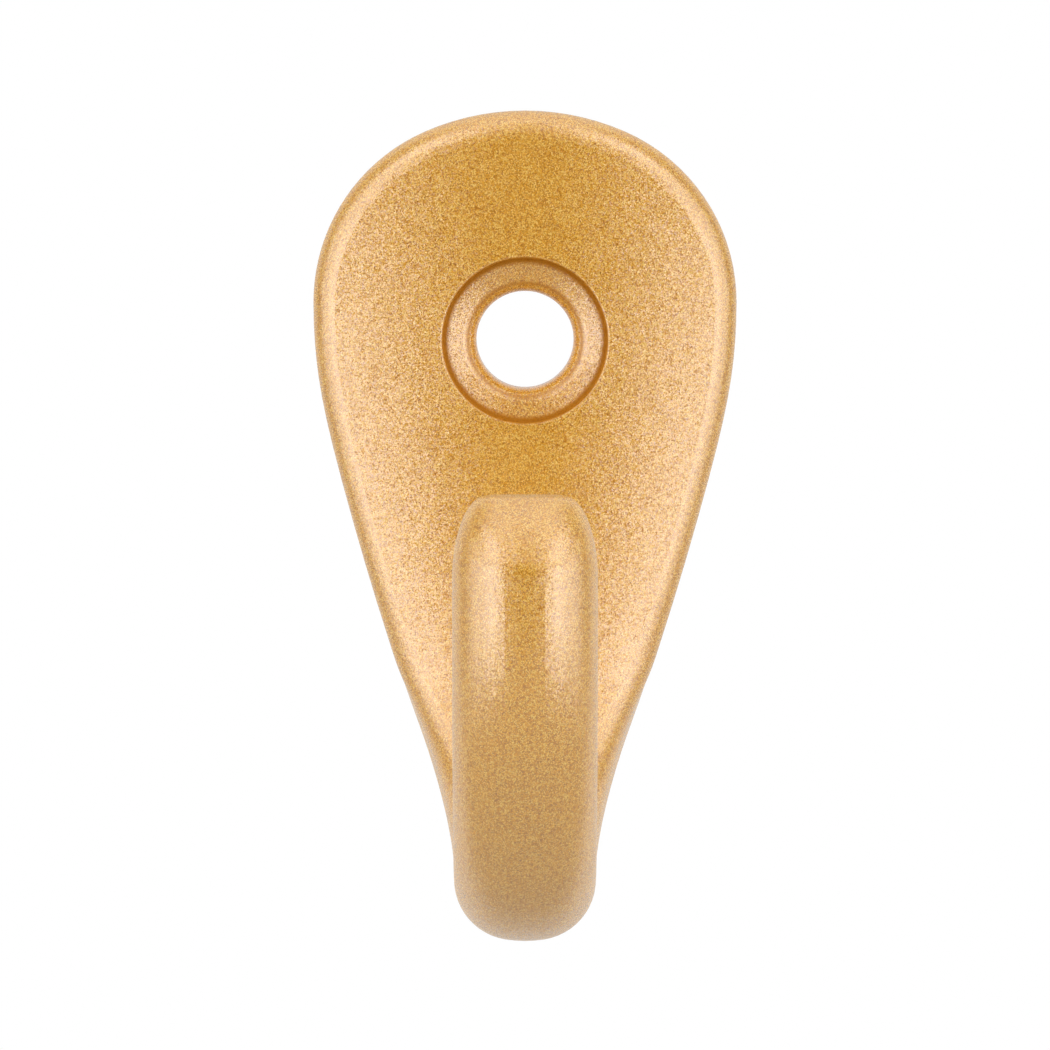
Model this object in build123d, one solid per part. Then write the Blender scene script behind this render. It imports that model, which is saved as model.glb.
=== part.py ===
from build123d import *
from dataclasses import dataclass
import math
import os

# Single wall hook, one solid casting.
#
# A drop-shaped plate stands against the wall and is held by one screw. Below
# the screw the plate narrows into a strap, which turns forward and up into a
# plain arm with a sloped and rounded tip. The plate's crowned front runs on as
# the inside of the bend, and its flat back as the rounded outside of the arm.
#
# Frame: the wall is the plane Y = 0 and the front of the hook faces -Y.
# Z is up. The screw hole's axis is X = 0, Z = 0. Millimetres and degrees.

os.makedirs("parts", exist_ok=True)

# ---- Outline of the plate, seen from the front ----
PLATE_WIDTH = 20.0              # across the widest line
PLATE_TOP = 10.8                # top of the plate above the screw
WIDEST_HEIGHT = 1.75            # widest line above the screw
CROWN_TURN = 23.6               # turn of the flat arc over the top, each side
CHEEK_RADIUS = 25.5             # side of the plate below the widest line
CHEEK_TURN = 14.2
FLANK_RADIUS = 156.0            # nearly straight flank down to the neck
NECK_RADIUS = 32.0              # hollow curve into the side of the arm

# ---- Thickness of the plate and its crowned front ----
PLATE_THICKNESS = 4.1           # on the centre line, level with the screw
THICKNESS_RATE = 0.04           # gain per millimetre down the plate
FACE_RADIUS = 38.0              # crown of the front, level with the screw
FACE_RATE = 1.25                # gain of that radius per millimetre up
FRONT_EDGE_RADIUS = 1.35        # rounding all round the front
BACK_EDGE_RADIUS = 0.35         # edge break round the wall face

# ---- Screw hole, in a shallow recess with a dished floor ----
SCREW_HOLE_RADIUS = 2.3
RECESS_RADIUS = 3.85
RECESS_DEPTH = 0.7              # below the front on the centre line
RECESS_EDGE_RADIUS = 0.15       # softened rim of the recess
RECESS_FLOOR_RADIUS = 0.33      # inside corner of the recess
DISH_FALL = 15.0                # slope of the floor down to the hole
HOLE_LIP_RADIUS = 0.86          # rounding from the floor into the hole

# ---- Strap, bend and arm ----
ARM_WIDTH = 6.55
ARM_THICKNESS = 5.2
ARM_OUTER_CROWN = 5.9           # outer face of the arm, across its width
ARM_OUTER_CORNER = 2.8
ARM_INNER_CROWN = 9.0           # inner face, which cradles what hangs there
ARM_INNER_CORNER = 2.1
BEND_RADIUS = 12.25             # outer face of the bend, wall to lowest point
BEND_DROP = 15.3                # centre of that arc below the screw
RISE_RADIUS = 16.5              # outer face, from the lowest point up to the arm
BACK_ROUND_TURN = 75.0          # turn over which the flat back becomes round
FACE_ROUND_TURN = 75.0          # turn at which the inner face is the arm's own
FACE_ROUND_LEAD = 5.0           # height above the bend at which that begins
ARM_LEAN = 3.5                  # the arm leans away from the wall
TIP_DROP = 6.61                 # top of the arm below the screw
TIP_TAPER_HEIGHT = 3.65         # height over which the sides and back draw in
TIP_SIDE_TAPER = 1.55           # draw-in of each side
TIP_BACK_TAPER = 1.2            # draw-in of the inner face
TIP_EASE_RADIUS = 1.5           # roll from the arm into the tip's sloping face
TIP_FACE_START = 29.0           # slope of that face at its foot
TIP_FACE_END = 55.0             # slope at its top
TIP_FACE_RADIUS = 7.3
TIP_EDGE_RADIUS = 0.5           # roll over the top of the tip

# ---- Sizes that follow ----
HALF_WIDTH = PLATE_WIDTH / 2.0
ARM_HALF = ARM_WIDTH / 2.0
HEAD_RISE = PLATE_TOP - WIDEST_HEIGHT
BEND_TURN = 180.0 - ARM_LEAN
WALL_GAP = 0.3                  # least straight side left between two corners

# Top of the plate: a flat arc turned by CROWN_TURN, then a tighter shoulder
# that is upright on the widest line. Their radii follow from the two spans.
turn_sin = math.sin(math.radians(CROWN_TURN))
turn_cos = math.cos(math.radians(CROWN_TURN))
span = turn_sin * turn_cos - (1.0 - turn_sin) * (1.0 - turn_cos)
CROWN_RADIUS = (HALF_WIDTH * turn_cos - HEAD_RISE * (1.0 - turn_sin)) / span
SHOULDER_RADIUS = (HEAD_RISE * turn_sin - HALF_WIDTH * (1.0 - turn_cos)) / span

# Side of the plate: cheek, flank and neck are tangent to each other, and the
# neck is tangent to the side of the arm.
cheek_sin = math.sin(math.radians(CHEEK_TURN))
cheek_cos = math.cos(math.radians(CHEEK_TURN))
CHEEK_X = HALF_WIDTH - CHEEK_RADIUS
CHEEK_END_Z = WIDEST_HEIGHT - CHEEK_RADIUS * cheek_sin
FLANK_X = CHEEK_X + (CHEEK_RADIUS - FLANK_RADIUS) * cheek_cos
FLANK_Z = CHEEK_END_Z + FLANK_RADIUS * cheek_sin
neck_cos = (NECK_RADIUS + ARM_HALF - FLANK_X) / (FLANK_RADIUS + NECK_RADIUS)
neck_sin = math.sqrt(1.0 - neck_cos ** 2)
FLANK_END_Z = FLANK_Z - FLANK_RADIUS * neck_sin
NECK_END_Z = FLANK_END_Z - NECK_RADIUS * neck_sin


@dataclass
class StrapSection:
    """Cross-section of the strap, square to its run.

    The outer face is the one towards the wall on the plate and the one
    away from it on the arm. A curvature of zero is a flat face.
    """

    half_width: float
    thickness: float
    outer_curvature: float
    outer_corner: float
    inner_curvature: float
    inner_corner: float

    def trimmed(self, side, outer, inner):
        """Return this section cut back at each side and at both faces."""
        half_width = self.half_width - side
        thickness = self.thickness - outer - inner
        room = min(1.0, (thickness - WALL_GAP) / (self.outer_corner + self.inner_corner))
        return StrapSection(
            half_width,
            thickness,
            self.outer_curvature,
            min(self.outer_corner * room, 0.9 * half_width),
            self.inner_curvature,
            min(self.inner_corner * room, 0.9 * half_width),
        )


def half_width_at(z):
    """Half the width of the outline at a height on or below the widest line."""
    if z >= CHEEK_END_Z:
        return CHEEK_X + math.sqrt(CHEEK_RADIUS ** 2 - (WIDEST_HEIGHT - z) ** 2)
    if z >= FLANK_END_Z:
        return FLANK_X + math.sqrt(FLANK_RADIUS ** 2 - (FLANK_Z - z) ** 2)
    if z >= NECK_END_Z:
        return ARM_HALF + NECK_RADIUS - math.sqrt(NECK_RADIUS ** 2 - (z - NECK_END_Z) ** 2)
    return ARM_HALF


def thickness_at(z):
    """Thickness of the plate on its centre line at a height."""
    return PLATE_THICKNESS - THICKNESS_RATE * z


def face_radius_at(z):
    """Radius of the crowned front at a height."""
    return FACE_RADIUS + FACE_RATE * z


def ease(value):
    """Smooth step from 0 to 1."""
    value = min(max(value, 0.0), 1.0)
    return value * value * (3.0 - 2.0 * value)


def mix(start, end, share):
    """Blend two values."""
    return start + (end - start) * share


def strap_section(z, turned, above_bend=0.0):
    """Cross-section of the strap where its outline is as wide as at height z.

    turned is how far round the bend it lies, and above_bend how far above it.
    """
    outer_share = ease(turned / BACK_ROUND_TURN)
    lead_turn = math.degrees(FACE_ROUND_LEAD / BEND_RADIUS)
    before = math.degrees(above_bend / BEND_RADIUS)
    inner_share = ease((turned + lead_turn - before) / (FACE_ROUND_TURN + lead_turn))
    half_width = half_width_at(z)
    thickness = mix(thickness_at(max(z, -BEND_DROP)), ARM_THICKNESS, inner_share)
    outer_corner = mix(BACK_EDGE_RADIUS, ARM_OUTER_CORNER, outer_share)
    inner_corner = mix(FRONT_EDGE_RADIUS, ARM_INNER_CORNER, inner_share)
    room = min(1.0, (thickness - WALL_GAP) / (outer_corner + inner_corner))
    return StrapSection(
        half_width,
        thickness,
        outer_share / ARM_OUTER_CROWN,
        min(outer_corner * room, 0.9 * half_width),
        mix(1.0 / face_radius_at(max(z, -BEND_DROP)), 1.0 / ARM_INNER_CROWN, inner_share),
        min(inner_corner * room, 0.9 * half_width),
    )


def corner_points(half_width, curvature, corner):
    """Points of one corner as (across, depth): on the face, midway, on the side."""
    across = half_width - corner
    if curvature < 1e-6:
        depth = corner
        start = -math.pi / 2.0
    else:
        crown = 1.0 / curvature
        depth = crown - math.sqrt((crown - corner) ** 2 - across ** 2)
        start = -math.acos(across / (crown - corner))
    angles = (start, start / 2.0, 0.0)
    return [
        (across + corner * math.cos(angle), depth + corner * math.sin(angle))
        for angle in angles
    ]


def section_wire(section, origin, inward):
    """Closed outline of a section.

    origin is the (Y, Z) of the middle of the outer face, and inward the (Y, Z)
    direction of its thickness.
    """
    def at(across, depth):
        return Vector(across, origin[0] + inward[0] * depth, origin[1] + inward[1] * depth)

    thickness = section.thickness
    outer = corner_points(section.half_width, section.outer_curvature, section.outer_corner)
    inner = corner_points(section.half_width, section.inner_curvature, section.inner_corner)
    outer_right = [at(x, depth) for x, depth in outer]
    outer_left = [at(-x, depth) for x, depth in outer]
    inner_right = [at(x, thickness - depth) for x, depth in inner]
    inner_left = [at(-x, thickness - depth) for x, depth in inner]
    if section.outer_curvature < 1e-6:
        outer_face = Edge.make_line(outer_left[0], outer_right[0])
    else:
        outer_face = Edge.make_three_point_arc(outer_left[0], at(0.0, 0.0), outer_right[0])
    return Wire([
        outer_face,
        Edge.make_three_point_arc(*outer_right),
        Edge.make_line(outer_right[2], inner_right[2]),
        Edge.make_three_point_arc(*reversed(inner_right)),
        Edge.make_three_point_arc(inner_right[0], at(0.0, thickness), inner_left[0]),
        Edge.make_three_point_arc(*inner_left),
        Edge.make_line(inner_left[2], outer_left[2]),
        Edge.make_three_point_arc(*reversed(outer_left)),
    ])


def behind_front(z, half_span=20.0):
    """Closed outline, at a height, of everything behind the crowned front."""
    radius = face_radius_at(z)
    reach = radius * math.sin(math.radians(half_span))
    sag = radius * (1.0 - math.cos(math.radians(half_span)))
    depth = thickness_at(z)
    left = Vector(-reach, sag - depth, z)
    right = Vector(reach, sag - depth, z)
    back_left = Vector(-reach, 0.0, z)
    back_right = Vector(reach, 0.0, z)
    return Wire([
        Edge.make_line(back_left, back_right),
        Edge.make_line(back_right, right),
        Edge.make_three_point_arc(right, Vector(0.0, -depth, z), left),
        Edge.make_line(left, back_left),
    ])


# ---- Head: the plate above its widest line, from its outline and its front ----
with BuildPart() as head_build:
    with BuildSketch(Plane.XZ):
        with BuildLine():
            crown = JernArc((0, PLATE_TOP), (1, 0), CROWN_RADIUS, -CROWN_TURN)
            shoulder = JernArc(crown @ 1, crown % 1, SHOULDER_RADIUS, CROWN_TURN - 90.0)
            cheek = JernArc(shoulder @ 1, shoulder % 1, CHEEK_RADIUS, -CHEEK_TURN)
            foot = Line(cheek @ 1, (0, CHEEK_END_Z))
            Line(foot @ 1, crown @ 0)
        make_face()
        mirror(about=Plane.YZ)
    extrude(amount=2.0 * PLATE_THICKNESS)

front_form = Solid.make_loft(
    [behind_front(CHEEK_END_Z - 1.0), behind_front(PLATE_TOP + 1.0)],
    ruled=True,
)
head = head_build.part & front_form
front_face = head.faces().sort_by(Axis.Y)[0]
head = fillet(
    [edge for edge in front_face.edges() if edge.center().Z > CHEEK_END_Z + 0.01],
    FRONT_EDGE_RADIUS,
)
wall_face = head.faces().sort_by(Axis.Y)[-1]
head = fillet(
    [edge for edge in wall_face.edges() if edge.center().Z > CHEEK_END_Z + 0.01],
    BACK_EDGE_RADIUS,
)
head = split(head, bisect_by=Plane.XY.offset(WIDEST_HEIGHT), keep=Keep.TOP)

# ---- Neck: from the widest line down and round to the lowest point ----
# The sections stand closer where the form changes faster.
neck_sections = []
straight_run = WIDEST_HEIGHT + BEND_DROP
for share in (0.0, 0.06, 0.2, 0.4, 0.56, 0.7, 0.8, 0.88, 0.95):
    z = WIDEST_HEIGHT - straight_run * share
    flat = strap_section(z, 0.0, above_bend=z + BEND_DROP)
    neck_sections.append(section_wire(flat, (0.0, z), (-1.0, 0.0)))

# Round the bend the outline narrows along the outer face, and it has run out
# into the side of the arm at the lowest point.
NECK_STEPS = 12
edge_run = BEND_RADIUS - BACK_EDGE_RADIUS
run_out = -NECK_END_Z - BEND_DROP - edge_run
for step in range(NECK_STEPS + 1):
    turned = 90.0 * step / NECK_STEPS
    angle = math.radians(turned)
    z = -BEND_DROP - edge_run * math.sin(angle) - run_out * (1.0 - math.cos(angle)) ** 2
    outer = (BEND_RADIUS * (math.cos(angle) - 1.0), -BEND_DROP - BEND_RADIUS * math.sin(angle))
    inward = (-math.cos(angle), math.sin(angle))
    neck_sections.append(section_wire(strap_section(z, turned), outer, inward))
neck = Solid.make_loft(neck_sections)

# ---- Arm: the rest of the bend is turned, then a straight run and the tip ----
arm_section = strap_section(NECK_END_Z, 90.0)
low_point = (-BEND_RADIUS, -BEND_DROP - BEND_RADIUS)
rise_centre = (low_point[0], low_point[1] + RISE_RADIUS)
low_face = Face(section_wire(arm_section, low_point, (0.0, 1.0)))
bend = Solid.revolve(low_face, BEND_TURN - 90.0, Axis((0, *rise_centre), (-1, 0, 0)))

angle = math.radians(BEND_TURN)
arm_start = (
    rise_centre[0] + RISE_RADIUS * math.cos(angle),
    rise_centre[1] - RISE_RADIUS * math.sin(angle),
)
arm_way = (-math.sin(angle), -math.cos(angle))
arm_inward = (-math.cos(angle), math.sin(angle))
arm_length = (-TIP_DROP - arm_start[1]) / arm_way[1]


def tip_front():
    """Stations up the front of the tip, as (height above its foot, draw-in)."""
    arcs = (
        (TIP_EASE_RADIUS, 0.0, TIP_FACE_START, 2),
        (TIP_FACE_RADIUS, TIP_FACE_START, TIP_FACE_END, 5),
        (TIP_EDGE_RADIUS, TIP_FACE_END, 90.0, 2),
    )
    stations = [(0.0, 0.0)]
    for radius, first, last, steps in arcs:
        foot, drawn_in = stations[-1]
        start = math.radians(first)
        for step in range(1, steps + 1):
            turn = math.radians(first + (last - first) * step / steps)
            height = foot + radius * (math.sin(turn) - math.sin(start))
            stations.append((height, drawn_in + radius * (math.cos(start) - math.cos(turn))))
    return stations


def arm_wire(along, front_drawn_in=0.0):
    """Outline of the arm a distance along it, drawn in at the tip."""
    taper = max(0.0, 1.0 - (arm_length - along) / TIP_TAPER_HEIGHT)
    drawn_in = 1.0 - math.sqrt(max(0.0, 1.0 - taper ** 2))
    section = arm_section.trimmed(
        TIP_SIDE_TAPER * drawn_in, front_drawn_in, TIP_BACK_TAPER * drawn_in
    )
    place = (
        arm_start[0] + arm_way[0] * along + arm_inward[0] * front_drawn_in,
        arm_start[1] + arm_way[1] * along + arm_inward[1] * front_drawn_in,
    )
    return section_wire(section, place, arm_inward)


# The tip's loft takes in a little of the straight arm, so that it leaves the
# arm without a crease.
TIP_LEAD = 0.6
front_stations = tip_front()
face_foot = arm_length - front_stations[-1][0]
tip_start = min(face_foot, arm_length - TIP_TAPER_HEIGHT)
arm_run = tip_start - TIP_LEAD
arm = Solid.extrude(Face(arm_wire(0.0)), Vector(0, *arm_way) * arm_run)
tip_sections = [arm_wire(arm_run), arm_wire(arm_run + TIP_LEAD / 2.0)]
if tip_start < face_foot - 0.05:
    tip_sections.append(arm_wire(tip_start))
for height, drawn_in in front_stations:
    tip_sections.append(arm_wire(face_foot + height, drawn_in))
tip = Solid.make_loft(tip_sections)

body = head.solid().fuse(neck, bend, arm, tip, tol=0.001)

# ---- Screw hole: recess, dished floor and hole as one turned cutter ----
recess_floor = PLATE_THICKNESS - RECESS_DEPTH
dish_foot = recess_floor - (RECESS_RADIUS - SCREW_HOLE_RADIUS) * math.tan(math.radians(DISH_FALL))
clear = 2.0
with BuildPart() as cutter:
    with BuildSketch(Plane.XY) as cutter_half:
        with BuildLine():
            Polyline(
                (0, clear),
                (SCREW_HOLE_RADIUS, clear),
                (SCREW_HOLE_RADIUS, -dish_foot),
                (RECESS_RADIUS, -recess_floor),
                (RECESS_RADIUS, -PLATE_THICKNESS - clear),
                (0, -PLATE_THICKNESS - clear),
                (0, clear),
            )
        make_face()
        corners = cutter_half.vertices()
        lip_corner = corners.sort_by_distance((SCREW_HOLE_RADIUS, -dish_foot, 0))[0]
        floor_corner = corners.sort_by_distance((RECESS_RADIUS, -recess_floor, 0))[0]
        fillet(lip_corner, HOLE_LIP_RADIUS)
        fillet(floor_corner, RECESS_FLOOR_RADIUS)
    revolve(axis=Axis.Y)
hook = body - cutter.part


def front_depth(point):
    """Depth of the crowned front from the wall, in front of a point."""
    radius = face_radius_at(point.Z)
    return thickness_at(point.Z) - radius + math.sqrt(radius ** 2 - point.X ** 2)


def on_rim(edge):
    """Whether an edge runs round the mouth of the recess."""
    points = [edge @ share for share in (0.0, 0.3, 0.6, 1.0)]
    return all(
        abs(math.hypot(point.X, point.Z) - RECESS_RADIUS) < 0.01
        and abs(point.Y + front_depth(point)) < 0.03
        for point in points
    )


face_sag = FACE_RADIUS - math.sqrt(FACE_RADIUS ** 2 - RECESS_RADIUS ** 2)
floor_reach = RECESS_FLOOR_RADIUS * math.tan(math.radians(45.0 - DISH_FALL / 2.0))
recess_wall = RECESS_DEPTH - face_sag - floor_reach
rim_radius = min(RECESS_EDGE_RADIUS, 0.7 * recess_wall)
hook = hook.solid()
hook = hook.fillet(rim_radius, [edge for edge in hook.edges() if on_rim(edge)])

print("hook:", round(hook.volume), "mm3,", len(hook.faces()), "faces")
export_step(hook, "parts/hook.step")
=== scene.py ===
"""A gold painted wall hook, dressed and lit for a plain studio picture."""

import logging
import math
from dataclasses import dataclass, replace
from enum import Enum
from typing import Any, Mapping

import bpy
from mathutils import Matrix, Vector


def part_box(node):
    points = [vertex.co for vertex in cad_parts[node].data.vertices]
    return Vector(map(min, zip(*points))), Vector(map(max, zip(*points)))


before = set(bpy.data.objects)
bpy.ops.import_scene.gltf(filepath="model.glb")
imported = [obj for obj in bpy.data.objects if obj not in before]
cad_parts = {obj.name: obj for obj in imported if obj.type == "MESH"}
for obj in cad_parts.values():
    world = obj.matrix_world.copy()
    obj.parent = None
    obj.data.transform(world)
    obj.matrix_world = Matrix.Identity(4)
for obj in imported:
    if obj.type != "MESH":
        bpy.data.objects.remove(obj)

LOG = logging.getLogger("wall_hook")

# One millimetre, in the frame's metres.
MM = 0.001
# Middle of a value that runs from 0 to 1.
MIDDLE = 0.5
# Turn that stands a flat sheet up, and that levels a camera.
UPRIGHT = math.radians(90.0)

# Sockets of a colour Mix node, which have the same names as its other sockets.
MIX_SHARE = 0
MIX_FIRST = 6
MIX_SECOND = 7
MIX_RESULT = 2

Triple = tuple[float, float, float]
Colour = tuple[float, float, float, float]

BLACK: Colour = (0.0, 0.0, 0.0, 1.0)
WHITE: Colour = (1.0, 1.0, 1.0, 1.0)


class Side(Enum):
    """Side of the hook that a lamp stands on, with the sign of its bearing."""

    RIGHT = 1.0
    LEFT = -1.0


class Ray(Enum):
    """Kind of ray that meets a surface, with its output on the Light Path node."""

    EYE = "Is Camera Ray"
    GLASS = "Is Transmission Ray"
    MIRROR = "Is Glossy Ray"


@dataclass(frozen=True)
class Signal:
    """A shader socket that joins in arithmetic by adding Math nodes."""

    bench: "NodeBench"
    socket: bpy.types.NodeSocket

    def __add__(self, other: "Operand") -> "Signal":
        """Sum of the two."""
        return self.bench.maths("ADD", self, other)

    def __radd__(self, other: "Operand") -> "Signal":
        """Sum, with the signal on the right."""
        return self.bench.maths("ADD", other, self)

    def __sub__(self, other: "Operand") -> "Signal":
        """Difference of the two."""
        return self.bench.maths("SUBTRACT", self, other)

    def __rsub__(self, other: "Operand") -> "Signal":
        """Difference, with the signal on the right."""
        return self.bench.maths("SUBTRACT", other, self)

    def __mul__(self, other: "Operand") -> "Signal":
        """Product of the two."""
        return self.bench.maths("MULTIPLY", self, other)

    def __rmul__(self, other: "Operand") -> "Signal":
        """Product, with the signal on the right."""
        return self.bench.maths("MULTIPLY", other, self)

    def __truediv__(self, other: "Operand") -> "Signal":
        """Quotient of the two."""
        return self.bench.maths("DIVIDE", self, other)

    def __rtruediv__(self, other: "Operand") -> "Signal":
        """Quotient, with the signal on the right."""
        return self.bench.maths("DIVIDE", other, self)


Operand = Signal | bpy.types.NodeSocket | float


@dataclass(frozen=True)
class NodeBench:
    """A node tree and the few moves that fill it."""

    tree: bpy.types.NodeTree

    @classmethod
    def for_material(cls, name: str) -> tuple["NodeBench", bpy.types.Material]:
        """Start an empty material.

        Args:
            name: Name of the new material.

        Returns:
            The bench on its node tree, and the material.
        """
        material = bpy.data.materials.new(name)
        material.use_nodes = True
        material.node_tree.nodes.clear()
        return cls(material.node_tree), material

    def node(
        self,
        kind: str,
        settings: Mapping[str, Any] | None = None,
        inputs: Mapping[int | str, Any] | None = None,
    ) -> bpy.types.Node:
        """Add one node, with its settings made before its sockets are filled.

        Args:
            kind: Blender's name for the type of node.
            settings: Attributes of the node.
            inputs: Values or links of its input sockets, by name or number.

        Returns:
            The node.
        """
        made = self.tree.nodes.new(kind)
        for key, value in (settings or {}).items():
            setattr(made, key, value)
        for key, value in (inputs or {}).items():
            source = value.socket if isinstance(value, Signal) else value
            if isinstance(source, bpy.types.NodeSocket):
                self.tree.links.new(source, made.inputs[key])
            else:
                made.inputs[key].default_value = source
        return made

    def signal(self, node: bpy.types.Node, output: int | str = 0) -> Signal:
        """One output of a node, ready for arithmetic."""
        return Signal(self, node.outputs[output])

    def maths(self, operation: str, first: Operand, second: Operand) -> Signal:
        """Add a Math node.

        Args:
            operation: Blender's name for the operation.
            first: Left-hand value.
            second: Right-hand value.

        Returns:
            Its result.
        """
        made = self.node("ShaderNodeMath", {"operation": operation}, {0: first, 1: second})
        return self.signal(made)

    def vectors(self, operation: str, **inputs: Any) -> Signal:
        """Add a Vector Math node.

        Args:
            operation: Blender's name for the operation.
            **inputs: a, b and scale, as far as the operation has them.

        Returns:
            Its result: a number for a length or a dot product, otherwise a vector.
        """
        places = {"a": 0, "b": 1, "scale": "Scale"}
        filled = {places[key]: value for key, value in inputs.items()}
        made = self.node("ShaderNodeVectorMath", {"operation": operation}, filled)
        is_number = operation in ("LENGTH", "DOT_PRODUCT")
        return self.signal(made, "Value" if is_number else "Vector")

    def blend(self, share: Operand, first: Any, second: Any) -> Signal:
        """Add a colour Mix node.

        Args:
            share: How much of the second colour shows.
            first: Colour, or link, at share 0.
            second: Colour, or link, at share 1.

        Returns:
            The mixed colour.
        """
        inputs = {MIX_SHARE: share, MIX_FIRST: first, MIX_SECOND: second}
        made = self.node("ShaderNodeMix", {"data_type": "RGBA"}, inputs)
        return self.signal(made, MIX_RESULT)

    def layer(self, share: Signal, under: bpy.types.Node, over: bpy.types.Node) -> bpy.types.Node:
        """Lay one shader over another.

        Args:
            share: How much of the upper shader shows.
            under: The lower shader.
            over: The upper shader.

        Returns:
            The Mix Shader node.
        """
        inputs = {0: share, 1: under.outputs[0], 2: over.outputs[0]}
        return self.node("ShaderNodeMixShader", None, inputs)

    def ramp(self, value: Signal, middle: float, width: float) -> Signal:
        """Rise from none to all round a value.

        Args:
            value: What is followed.
            middle: The value at which the result is a half.
            width: Width of the rise.

        Returns:
            The result, from 0 to 1.
        """
        rise = (value - middle) / width + MIDDLE
        return self.signal(self.node("ShaderNodeClamp", None, {"Value": rise}))

    def grey(self, level: Signal) -> Signal:
        """A grey of the stated level, as a colour."""
        return self.blend(level, BLACK, WHITE)

    def seen(self, by_eye: float, by_mirror: float) -> Signal:
        """A level that follows what kind of ray meets the surface.

        Args:
            by_eye: The level where the surface is seen itself, also through glass.
            by_mirror: The level where it is seen in something glossy.

        Returns:
            The level, and 0 for the light that the surface scatters.
        """
        path = self.node("ShaderNodeLightPath")
        eye = self.signal(path, Ray.EYE.value)
        glass = self.signal(path, Ray.GLASS.value)
        mirror = self.signal(path, Ray.MIRROR.value)
        return (eye + glass) * by_eye + mirror * by_mirror


@dataclass(frozen=True)
class FlakePaint:
    """Satin gold paint with fine metal flake, glossy at the surface.

    Sizes are in millimetres. Each flake lies at its own small tilt and has
    its own brightness, from deep gold to pale gold. Round the screw's seat the
    paint is darker and dull: painted shade on the seat's wall and the bore's lip.
    """

    name: str = "gold_flake_paint"

    # The flakes and their colours.
    gold: Colour = (0.88, 0.395, 0.006, 1.0)
    pale_gold: Colour = (1.0, 0.66, 0.13, 1.0)
    deep_gold: Colour = (0.40, 0.12, 0.001, 1.0)
    flake_size: float = 0.043
    flake_tilt: float = 0.26

    # The gloss of the surface.
    metallic: float = 0.05
    roughness: float = 0.25
    roughness_spread: float = 0.10
    gloss_ior: float = 2.6

    # Soft unevenness of the colour and of the surface.
    cloud_size: float = 2.6
    cloud_share: float = 0.08
    ripple_size: float = 0.7
    ripple_depth: float = 0.003
    grain_detail: float = 2.0

    # The look of the painted shade round the screw's seat: darker, duller paint.
    seat_shade_gold: Colour = (0.43, 0.145, 0.001, 1.0)
    seat_shade_flake: float = 0.18
    seat_shade_gloss: float = 0.15
    seat_shade_roughness: float = 0.6

    # Where the painted shade lies: radii from the screw's axis, depth from the wall, and soft
    # edges.
    seat_shade_inner: float = 3.63
    seat_shade_inner_edge: float = 0.20
    seat_shade_outer: float = 3.93
    seat_shade_edge: float = 0.08
    lip_shade_radius: float = 2.74
    lip_shade_edge: float = 0.26
    face_depth: float = 3.0

    def make(self) -> bpy.types.Material:
        """Build the paint as a material.

        Returns:
            The material, on Object coordinates.
        """
        bench, material = NodeBench.for_material(self.name)
        place = bench.node("ShaderNodeTexCoord").outputs["Object"]
        flakes = bench.node(
            "ShaderNodeTexVoronoi",
            {"voronoi_dimensions": "3D", "feature": "F1"},
            {"Vector": place, "Scale": 1.0 / (self.flake_size * MM), "Randomness": 1.0},
        )
        # Each flake has a random colour, which gives it its tilt and its shade.
        lot = bench.signal(flakes, "Color")
        chance = bench.node("ShaderNodeTexWhiteNoise", {"noise_dimensions": "3D"}, {"Vector": lot})
        shade = bench.signal(chance, "Value")
        clouds = self.grain(bench, place, self.cloud_size)
        ripple = self.grain(bench, place, self.ripple_size)

        # The brighter half of the flakes runs to pale gold, the darker half to deep gold.
        pale = bench.maths("MAXIMUM", shade * 2.0 - 1.0, 0.0)
        deep = bench.maths("MAXIMUM", 1.0 - shade * 2.0, 0.0)
        colour = bench.blend(pale, self.gold, self.pale_gold)
        colour = bench.blend(deep, colour, self.deep_gold)
        colour = bench.blend(clouds * self.cloud_share, colour, self.deep_gold)

        # The surface swells a little, and each flake leans its own way on it.
        lean = bench.vectors("SUBTRACT", a=lot, b=(MIDDLE, MIDDLE, MIDDLE))
        lean = bench.vectors("SCALE", a=lean, scale=self.flake_tilt)
        swell = bench.node(
            "ShaderNodeBump",
            None,
            {"Strength": 1.0, "Distance": self.ripple_depth * MM, "Height": ripple},
        )
        normal = bench.vectors("ADD", a=swell.outputs["Normal"], b=lean)
        normal = bench.vectors("NORMALIZE", a=normal)

        paint = bench.node(
            "ShaderNodeBsdfPrincipled",
            None,
            {
                "Base Color": colour,
                "Metallic": self.metallic,
                "Roughness": self.roughness + (shade - MIDDLE) * self.roughness_spread,
                "Normal": normal,
                "IOR": self.gloss_ior,
            },
        )
        # This darker, dull paint is painted shade, laid over the seat's wall and the lip of the
        # bore.
        seat_shade_layer = bench.node(
            "ShaderNodeBsdfPrincipled",
            None,
            {
                "Base Color": bench.blend(self.seat_shade_flake, self.seat_shade_gold, colour),
                "Roughness": self.seat_shade_roughness,
                "Specular IOR Level": self.seat_shade_gloss,
            },
        )
        whole = bench.layer(self.painted_seat_shade(bench, place), paint, seat_shade_layer)
        bench.node("ShaderNodeOutputMaterial", None, {"Surface": whole.outputs[0]})
        return material

    def painted_seat_shade(self, bench: NodeBench, place: bpy.types.NodeSocket) -> Signal:
        """Where shade is painted in: darker, dull paint round the screw's seat.

        Args:
            bench: Bench of the paint.
            place: Object coordinates.

        Returns:
            The share of painted shade: all of it on the seat's wall and on the
            lip of the bore, and none on the back.
        """
        # The seat lies round the frame's Y axis, and the hook stands out along -Y.
        across = bench.vectors("MULTIPLY", a=place, b=(1.0, 0.0, 1.0))
        radius = bench.vectors("LENGTH", a=across) / MM
        depth = bench.vectors("DOT_PRODUCT", a=place, b=(0.0, -1.0, 0.0)) / MM
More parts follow.
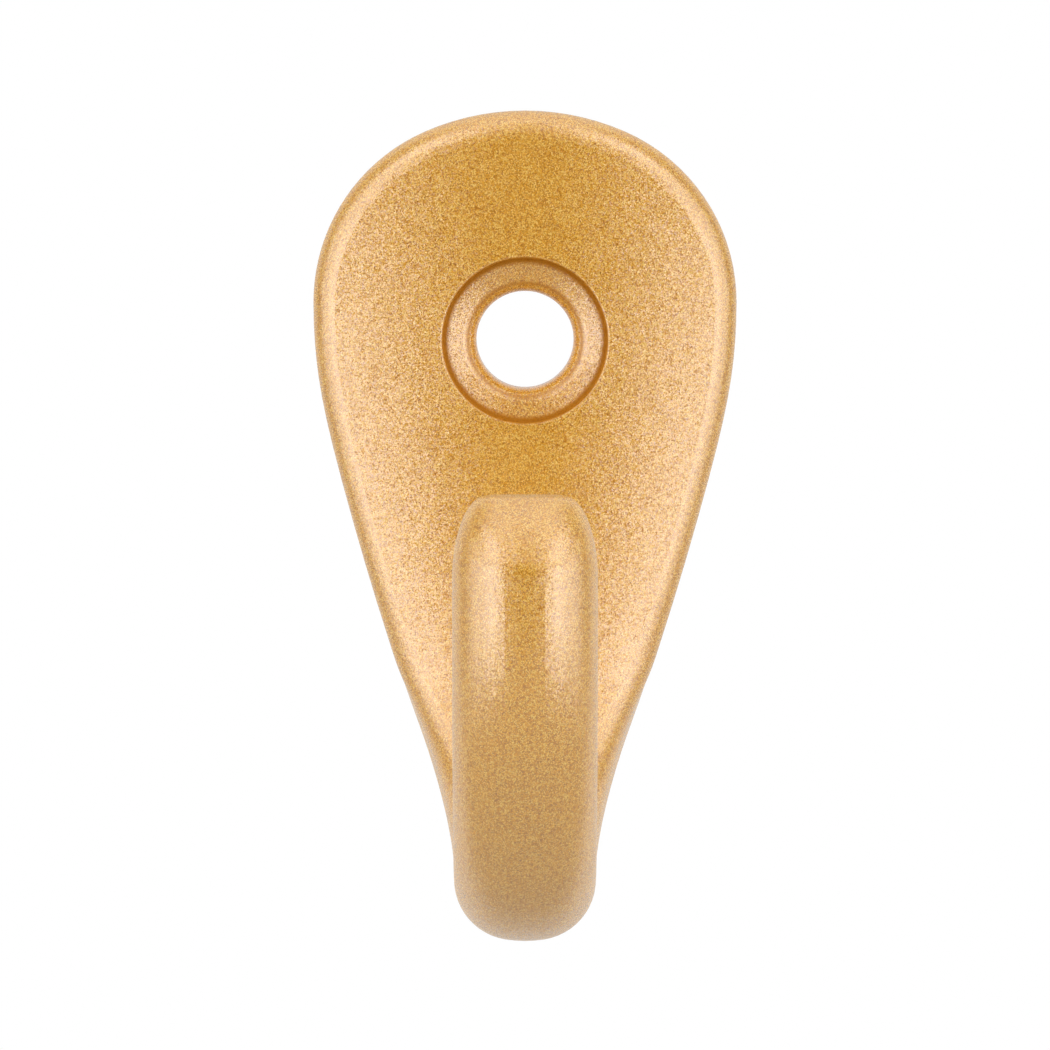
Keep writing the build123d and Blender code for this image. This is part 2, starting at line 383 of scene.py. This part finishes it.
        # Painted shade lies only in front of the face depth, on the seat's wall and on the lip of
        # the bore.
        front = bench.ramp(depth, self.face_depth, self.seat_shade_edge)
        wall = bench.ramp(radius, self.seat_shade_inner, self.seat_shade_inner_edge)
        wall = wall - bench.ramp(radius, self.seat_shade_outer, self.seat_shade_edge)
        lip_shade = 1.0 - bench.ramp(radius, self.lip_shade_radius, self.lip_shade_edge)
        return (wall + lip_shade) * front

    def grain(self, bench: NodeBench, place: bpy.types.NodeSocket, size: float) -> Signal:
        """Soft noise.

        Args:
            bench: Bench of the paint.
            place: Object coordinates.
            size: Size of its blotches.

        Returns:
            The noise, about 0.5.
        """
        noise = bench.node(
            "ShaderNodeTexNoise",
            None,
            {"Vector": place, "Scale": 1.0 / (size * MM), "Detail": self.grain_detail},
        )
        return bench.signal(noise)


@dataclass(frozen=True)
class MattSheet:
    """Matt finish of the studio's sheets, with a plain white of its own laid over it.

    The white shows where the sheet is seen itself and where it is seen in
    something glossy, with a share and a level for each. All other light meets
    only the matt colour.
    """

    name: str
    colour: Colour = (0.86, 0.86, 0.86, 1.0)
    share_to_eye: float = 1.0
    share_to_mirror: float = 1.0
    white_to_eye: float = 1.0
    white_to_mirror: float = 0.4

    def make(self) -> bpy.types.Material:
        """Build the finish as a material.

        Returns:
            The material.
        """
        bench, material = NodeBench.for_material(self.name)
        matt = bench.node("ShaderNodeBsdfDiffuse", None, {"Color": self.colour})
        white = bench.seen(self.white_to_eye, self.white_to_mirror)
        plain = bench.node("ShaderNodeEmission", None, {"Color": bench.grey(white)})
        share = bench.seen(self.share_to_eye, self.share_to_mirror)
        whole = bench.layer(share, matt, plain)
        bench.node("ShaderNodeOutputMaterial", None, {"Surface": whole.outputs[0]})
        return material


@dataclass
class WallHook:
    """The cast hook, one piece, painted all over."""

    node: str = "hook"
    paint: FlakePaint = FlakePaint()

    def dress(self) -> bpy.types.Object:
        """Give the casting its paint.

        Returns:
            The casting.
        """
        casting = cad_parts[self.node]
        casting.data.materials.clear()
        casting.data.materials.append(self.paint.make())
        return casting

    def middle(self) -> Vector:
        """Middle of the casting."""
        low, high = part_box(self.node)
        return (Vector(low) + Vector(high)) / 2.0


@dataclass(frozen=True)
class Softbox:
    """A lamp with a large plain oblong face, aimed at the hook.

    Bearing is measured round the hook from the camera's side towards its right,
    and height above the horizon, both in degrees. Sizes are in metres.
    """

    name: str
    bearing: float
    height: float
    distance: float
    width: float
    tall: float
    level: float

    def on(self, side: Side) -> "Softbox":
        """The same lamp on one side of the hook, and named after that side."""
        name = f"{side.name.lower()}_{self.name}"
        return replace(self, name=name, bearing=side.value * self.bearing)

    def build(self, aim: Vector) -> bpy.types.Object:
        """Stand the lamp up.

        Args:
            aim: Point that it faces.

        Returns:
            The lamp. Its power gives its face the stated level of brightness.
        """
        bearing = math.radians(self.bearing)
        height = math.radians(self.height)
        away = Vector((
            math.sin(bearing) * math.cos(height),
            -math.cos(bearing) * math.cos(height),
            math.sin(height),
        ))
        lamp = bpy.data.lights.new(self.name, "AREA")
        lamp.shape = "RECTANGLE"
        lamp.size = self.width
        lamp.size_y = self.tall
        area = self.width * self.tall
        lamp.energy = self.level * math.pi * area
        stand = bpy.data.objects.new(self.name, lamp)
        bpy.context.scene.collection.objects.link(stand)
        stand.location = aim + away * self.distance
        stand.rotation_euler = (-away).to_track_quat("-Z", "Y").to_euler()
        return stand


@dataclass
class Studio:
    """Floor, wall behind, card, lamps and the plain light of the room.

    Sizes are in metres. The sheets are placed from the frame's origin, and the
    lamps from the middle of the hook. The softbox, core, upper and edge lamps
    each stand on both sides.
    """

    floor_drop: float = 0.75
    floor_reach: float = 6.0
    wall_gap: float = 0.9
    wall_width: float = 3.2
    wall_height: float = 3.2
    card_gap: float = 0.95
    card_width: float = 0.75
    card_height: float = 0.58
    card_rise: float = 0.085
    room_level: float = 0.27
    floor_white: MattSheet = MattSheet(
        "floor_white",
        colour=(0.65, 0.65, 0.65, 1.0),
        share_to_eye=0.8,
        white_to_eye=0.8,
        white_to_mirror=0.5,
    )
    wall_white: MattSheet = MattSheet("wall_white", white_to_mirror=0.9)
    card_black: MattSheet = MattSheet(
        "card_black", colour=(0.01, 0.01, 0.01, 1.0), share_to_mirror=0.0
    )
    softbox: Softbox = Softbox(
        "softbox", bearing=53.0, height=8.0, distance=0.95, width=1.10, tall=1.05, level=1.00
    )
    core: Softbox = Softbox(
        "core", bearing=40.0, height=-3.0, distance=0.90, width=0.50, tall=0.62, level=1.20
    )
    upper: Softbox = Softbox(
        "upper", bearing=46.0, height=48.0, distance=0.95, width=0.60, tall=0.38, level=1.95
    )
    edge: Softbox = Softbox(
        "edge", bearing=84.0, height=6.0, distance=0.95, width=0.40, tall=0.90, level=0.60
    )
    top: Softbox = Softbox(
        "top_softbox", bearing=0.0, height=80.0, distance=0.95, width=0.80, tall=0.34, level=1.00
    )
    rear: Softbox = Softbox(
        "rear_softbox", bearing=180.0, height=76.0, distance=0.95, width=0.80, tall=0.40, level=0.55
    )

    def build(self, aim: Vector) -> None:
        """Put up the room's light, the floor, the wall behind, the card and the lamps.

        Args:
            aim: Point that the lamps face.
        """
        self.room()
        self.floor()
        self.wall()
        self.card()
        for softbox in self.softboxes():
            softbox.build(aim)
            LOG.info("lamp %s", softbox.name)

    def softboxes(self) -> list[Softbox]:
        """The lamps: four on each side, then two overhead."""
        paired = (self.softbox, self.core, self.upper, self.edge)
        sides = [softbox.on(side) for side in Side for softbox in paired]
        return sides + [self.top, self.rear]

    def floor(self) -> bpy.types.Object:
        """Lay the floor."""
        span = 2.0 * self.floor_reach
        place = (0.0, 0.0, -self.floor_drop)
        return self.sheet("floor", self.floor_white, (span, span), place)

    def wall(self) -> bpy.types.Object:
        """Put up the wall behind."""
        size = (self.wall_width, self.wall_height)
        place = (0.0, self.wall_gap, self.wall_height / 2.0 - self.floor_drop)
        return self.sheet("wall_behind", self.wall_white, size, place, UPRIGHT)

    def card(self) -> bpy.types.Object:
        """Stand a card behind the camera, dark in the hook's gloss and white where seen itself."""
        size = (self.card_width, self.card_height)
        place = (0.0, -self.card_gap, self.card_rise)
        return self.sheet("front_card", self.card_black, size, place, UPRIGHT)

    @staticmethod
    def sheet(
        name: str,
        matt: MattSheet,
        size: tuple[float, float],
        place: Triple,
        tilt: float = 0.0,
    ) -> bpy.types.Object:
        """Make a flat sheet, with its place fixed in its mesh.

        Args:
            name: Name of the sheet.
            matt: Its finish.
            size: Its two sides.
            place: Its middle.
            tilt: How far it is turned up from lying flat, in radians.

        Returns:
            The sheet.
        """
        bpy.ops.object.select_all(action="DESELECT")
        bpy.ops.mesh.primitive_plane_add(size=1.0, location=place, rotation=(tilt, 0.0, 0.0))
        surface = bpy.context.object
        surface.name = name
        surface.scale = (*size, 1.0)
        bpy.ops.object.transform_apply(location=True, rotation=True, scale=True)
        surface.data.materials.append(matt.make())
        LOG.info("sheet %s", name)
        return surface

    def room(self) -> None:
        """Fill the room with dim light, and show it white where it is seen."""
        world = bpy.data.worlds.new("room")
        world.use_nodes = True
        world.node_tree.nodes.clear()
        bench = NodeBench(world.node_tree)
        eye = bench.signal(bench.node("ShaderNodeLightPath"), Ray.EYE.value)
        level = self.room_level + eye * (1.0 - self.room_level)
        glow = bench.node("ShaderNodeBackground", None, {"Color": WHITE, "Strength": level})
        bench.node("ShaderNodeOutputWorld", None, {"Surface": glow.outputs[0]})
        bpy.context.scene.world = world


@dataclass
class StudioCamera:
    """A long lens, square to the hook and a little above it.

    Sizes are in millimetres, from the frame's origin, and pitch is in degrees.
    """

    lens: float = 345.4
    sensor: float = 36.0
    aim: Triple = (0.0, -3.2, -8.72)
    distance: float = 475.0
    pitch: float = 2.55
    nearest: float = 10.0
    farthest: float = 50000.0

    def build(self) -> bpy.types.Object:
        """Set the camera up.

        Returns:
            The camera, which is the scene's.
        """
        data = bpy.data.cameras.new("studio_camera")
        data.lens = self.lens
        data.sensor_width = self.sensor
        data.clip_start = self.nearest * MM
        data.clip_end = self.farthest * MM
        camera = bpy.data.objects.new("studio_camera", data)
        bpy.context.scene.collection.objects.link(camera)
        pitch = math.radians(self.pitch)
        back = Vector((0.0, -math.cos(pitch), math.sin(pitch)))
        camera.location = (Vector(self.aim) + back * self.distance) * MM
        camera.rotation_euler = (UPRIGHT - pitch, 0.0, 0.0)
        bpy.context.scene.camera = camera
        return camera


def main() -> None:
    """Dress the hook, light it and set up the camera."""
    logging.basicConfig(level=logging.INFO, format="%(name)s: %(message)s")
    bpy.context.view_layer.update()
    bpy.context.scene.view_settings.view_transform = "Standard"

    hook = WallHook()
    casting = hook.dress()
    LOG.info("%s painted with %s", casting.name, hook.paint.name)

    Studio().build(hook.middle())
    camera = StudioCamera().build()
    LOG.info("%s set at %s", camera.name, tuple(round(place, 4) for place in camera.location))


if __name__ == "__main__":
    main()
